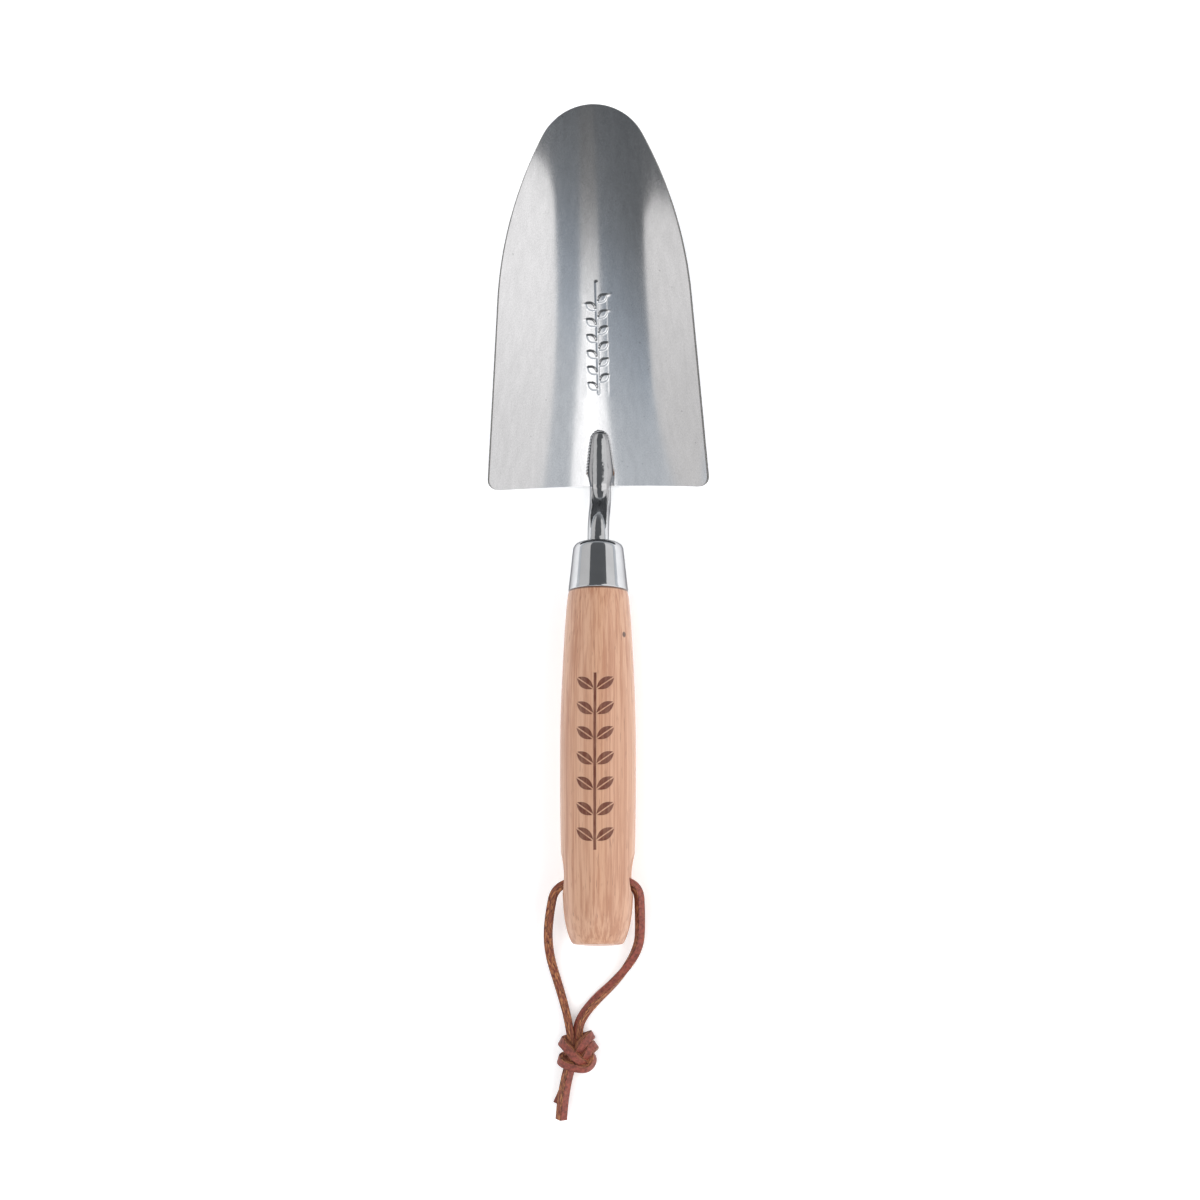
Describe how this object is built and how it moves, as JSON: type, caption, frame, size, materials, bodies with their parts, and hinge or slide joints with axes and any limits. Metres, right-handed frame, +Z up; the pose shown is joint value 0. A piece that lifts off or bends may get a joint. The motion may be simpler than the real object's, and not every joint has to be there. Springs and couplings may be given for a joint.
{
  "type": "hand trowel",
  "caption": "Hand trowel with a channelled steel blade, welded cranked tang, steel ferrule, turned wooden handle and a knotted lace hanging loop.",
  "frame": {"origin": "on the surface the trowel rests on, half-way along and half-way across the trowel, measured without the lanyard", "axes": "+Y along the handle towards the blade's tip, +X across the blade, +Z up out of the blade's hollow; the heel of the blade and the belly of the handle touch Z = 0"},
  "size_m": [0.0862, 0.3839, 0.0467],
  "materials": {
    "blade_steel": "satin, fine lengthwise grain",
    "tang_steel": "polished",
    "weld_metal": "rippled, heat tinted",
    "ferrule_steel": "mirror polished",
    "handle_wood": "varnished, satin",
    "resin": "cured adhesive",
    "lace_leather": "smooth grain face, rough cut sides"
  },
  "bodies": {
    "trowel": {"blade": "blade_steel", "tang": "tang_steel", "weld_bead": "weld_metal", "ferrule": "ferrule_steel", "handle": "handle_wood", "tang_resin": "resin"},
    "lanyard": {"lanyard_left_strand": "lace_leather", "lanyard_right_strand": "lace_leather", "lanyard_knot": "lace_leather", "lanyard_long_tail": "lace_leather", "lanyard_short_tail": "lace_leather"}
  },
  "joints": [
    {"name": "lanyard_swing", "type": "hinge", "parent": "trowel", "child": "lanyard", "pos_m": [0, -0.1364, 0.0144], "axis": [1, 0, 0], "range_deg": [-150, 130]}
  ]
}
